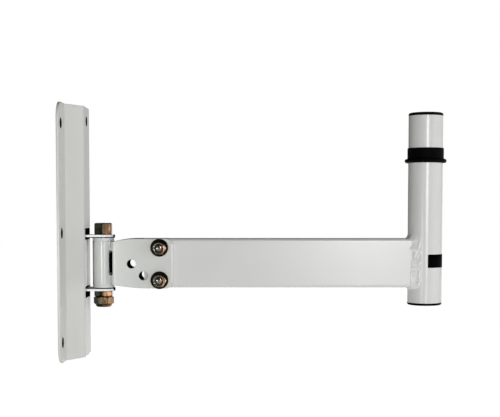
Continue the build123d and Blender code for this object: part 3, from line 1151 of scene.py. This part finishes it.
# A box beside the camera with a weak one under it, others at the sides and two behind
LAMPS = (
    SoftBox("front_box", (0.45, -1.25, 0.15), (0.25, 0.0, 0.0), (0.17, 0.34), 5.0),
    SoftBox("low_box", (0.45, -1.25, -0.22), (0.25, 0.0, 0.0), (0.17, 0.3), 0.9),
    SoftBox("right_box", (1.1, -0.75, 0.0), (0.2, 0.0, 0.0), (0.9, 0.9), 1.8),
    SoftBox("side_box", (2.2, -0.4, 0.1), (0.3, 0.0, 0.0), (2.2, 2.2), 13.6),
    SoftBox("left_box", (-0.45, -0.95, 0.0), (0.05, 0.0, 0.0), (0.5, 0.8), 0.3),
    SoftBox("left_strip", (-0.2, -1.12, -0.075), (0.03, 0.0, -0.03), (0.045, 0.11), 1.2),
    SoftBox("back_box", (0.1, 1.6, 0.0), (0.1, 0.0, 0.0), (0.3, 0.8), 10.0, mirrored=False),
    SoftBox("wall_side_box", (-0.9, 0.0, 0.0), (0.0, 0.0, 0.0), (0.2, 0.2), 2.2, mirrored=False),
)


@dataclass
class Studio:
    """A pale floor, a white surround, soft lamps and the camera."""

    camera_mm: Point = (185.0, -1070.0, 24.1)
    focal_px: float = 1039.0
    image_width_px: float = 500.0
    down_angle: float = 3.3
    lift_px: float = 59.9
    sensor_mm: float = 36.0
    clip_m: tuple[float, float] = (0.01, 50.0)
    floor_z: float = -450.0
    floor_half_m: float = 12.0
    floor_colour: str = "#F2F2F0"
    glow_near_m: float = 0.5
    glow_far_m: float = 1.3
    glow_low: float = 0.62
    glow_high: float = 0.97
    bounce_level: float = 0.19
    backdrop_colour: str = "#FFFFFF"
    room_level: float = 0.07
    bright_side: Point = (0.8, 0.5, -0.33)
    bright_from: float = 0.35
    bright_to: float = 0.85
    fill_level: float = 0.04
    back_level: float = 0.1
    back_from: float = 0.4
    back_to: float = 0.95

    def camera(self) -> None:
        """Set the camera at eye level, looking along +Y and slightly down."""
        data = bpy.data.cameras.new("view_camera")
        data.sensor_fit = "HORIZONTAL"
        data.sensor_width = self.sensor_mm
        data.lens = self.focal_px / self.image_width_px * self.sensor_mm
        data.shift_y = self.lift_px / self.image_width_px
        data.clip_start, data.clip_end = self.clip_m
        camera = bpy.data.objects.new("view_camera", data)
        camera.location = Vector(self.camera_mm) * MM
        camera.rotation_euler = (math.radians(90 - self.down_angle), 0, 0)
        bpy.context.scene.collection.objects.link(camera)
        bpy.context.scene.camera = camera

    def floor_material(self) -> Material:
        """Build the floor's material, which glows where it is seen and bounces some light.

        Returns:
            The finished material.
        """
        material, tree = empty_material("pale_studio_floor")
        ray = add_node(tree, "ShaderNodeLightPath").outputs
        shown = add_node(tree, "ShaderNodeMath", {0: ray["Is Camera Ray"], 1: ray["Is Glossy Ray"]},
                         operation="MAXIMUM")
        shown = add_node(tree, "ShaderNodeMath", {0: shown, 1: ray["Is Transmission Ray"]},
                         operation="MAXIMUM")
        bounce = add_node(tree, "ShaderNodeMath", {0: ray["Is Diffuse Ray"], 1: self.bounce_level},
                          operation="MULTIPLY")
        share = add_node(tree, "ShaderNodeMath", {0: shown, 1: bounce}, operation="MAXIMUM")
        place = add_node(tree, "ShaderNodeTexCoord").outputs["Object"]
        away = add_node(tree, "ShaderNodeVectorMath", {0: place}, operation="LENGTH").outputs["Value"]
        light = add_node(tree, "ShaderNodeMapRange",
                         {"Value": away, "From Min": self.glow_near_m, "From Max": self.glow_far_m,
                          "To Min": self.glow_low, "To Max": self.glow_high},
                         interpolation_type="SMOOTHSTEP")
        level = add_node(tree, "ShaderNodeMath", {0: share, 1: light}, operation="MULTIPLY")
        matt = add_node(tree, "ShaderNodeBsdfDiffuse", {"Color": linear(self.floor_colour)})
        glow = add_node(tree, "ShaderNodeEmission", {"Strength": level})
        both = add_node(tree, "ShaderNodeAddShader", {0: matt, 1: glow})
        add_node(tree, "ShaderNodeOutputMaterial", {"Surface": both})
        return material

    def floor(self) -> None:
        """Lay a pale floor that keeps the object's shadow."""
        sheet = bmesh.new()
        bmesh.ops.create_grid(sheet, x_segments=1, y_segments=1, size=self.floor_half_m,
                              matrix=Matrix.Translation((0, 0, self.floor_z * MM)))
        mesh = bpy.data.meshes.new("studio_floor")
        sheet.to_mesh(mesh)
        sheet.free()
        mesh.materials.append(self.floor_material())
        floor = bpy.data.objects.new("studio_floor", mesh)
        bpy.context.scene.collection.objects.link(floor)

    def surround(self) -> None:
        """Make the world white where it is seen, with a dim room in front of the backdrop.

        Reflections show the white backdrop behind and to the right, and the dim room elsewhere. Other
        rays find a grey fill that is stronger behind the object.
        """
        world = bpy.data.worlds.new("studio_surround")
        world.use_nodes = True
        tree = world.node_tree
        tree.nodes.clear()
        ray = add_node(tree, "ShaderNodeLightPath").outputs
        way = add_node(tree, "ShaderNodeTexCoord").outputs["Generated"]
        facing = add_node(tree, "ShaderNodeVectorMath", {0: way, 1: self.bright_side},
                          operation="DOT_PRODUCT").outputs["Value"]
        mirror = add_node(tree, "ShaderNodeMapRange",
                          {"Value": facing, "From Min": self.bright_from, "From Max": self.bright_to,
                           "To Min": self.room_level}, interpolation_type="SMOOTHSTEP")
        glossy = add_node(tree, "ShaderNodeMath", {0: ray["Is Glossy Ray"], 1: mirror},
                          operation="MULTIPLY")
        seen = add_node(tree, "ShaderNodeMath", {0: ray["Is Camera Ray"], 1: ray["Is Transmission Ray"]},
                        operation="MAXIMUM")
        shown = add_node(tree, "ShaderNodeMath", {0: seen, 1: glossy}, operation="MAXIMUM")
        behind = add_node(tree, "ShaderNodeSeparateXYZ", {0: way}).outputs["Y"]
        fill = add_node(tree, "ShaderNodeMapRange",
                        {"Value": behind, "From Min": self.back_from, "From Max": self.back_to,
                         "To Min": self.fill_level, "To Max": self.back_level},
                        interpolation_type="SMOOTHSTEP")
        spread = add_node(tree, "ShaderNodeMath", {0: ray["Is Diffuse Ray"], 1: fill}, operation="MULTIPLY")
        level = add_node(tree, "ShaderNodeMath", {0: shown, 1: spread}, operation="MAXIMUM")
        white = add_node(tree, "ShaderNodeBackground",
                         {"Color": linear(self.backdrop_colour), "Strength": level})
        add_node(tree, "ShaderNodeOutputWorld", {"Surface": white})
        bpy.context.scene.world = world

    def build(self) -> None:
        """Set up the stage, the lamps and the camera."""
        self.camera()
        self.floor()
        self.surround()
        for lamp in LAMPS:
            lamp.build()
        bpy.context.scene.view_settings.view_transform = "Standard"
        log.info("set the studio and the camera")


def main() -> None:
    """Dress the bracket and build its studio."""
    logging.basicConfig(level=logging.INFO, format="%(name)s: %(message)s")
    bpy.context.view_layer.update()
    finishes = Finishes.make()
    for assembly in (WallMount(finishes), SwivelHinge(finishes), ArmAndPole(finishes), TiltBolts(finishes)):
        assembly.build()
    Studio().build()


if __name__ == "__main__":
    main()
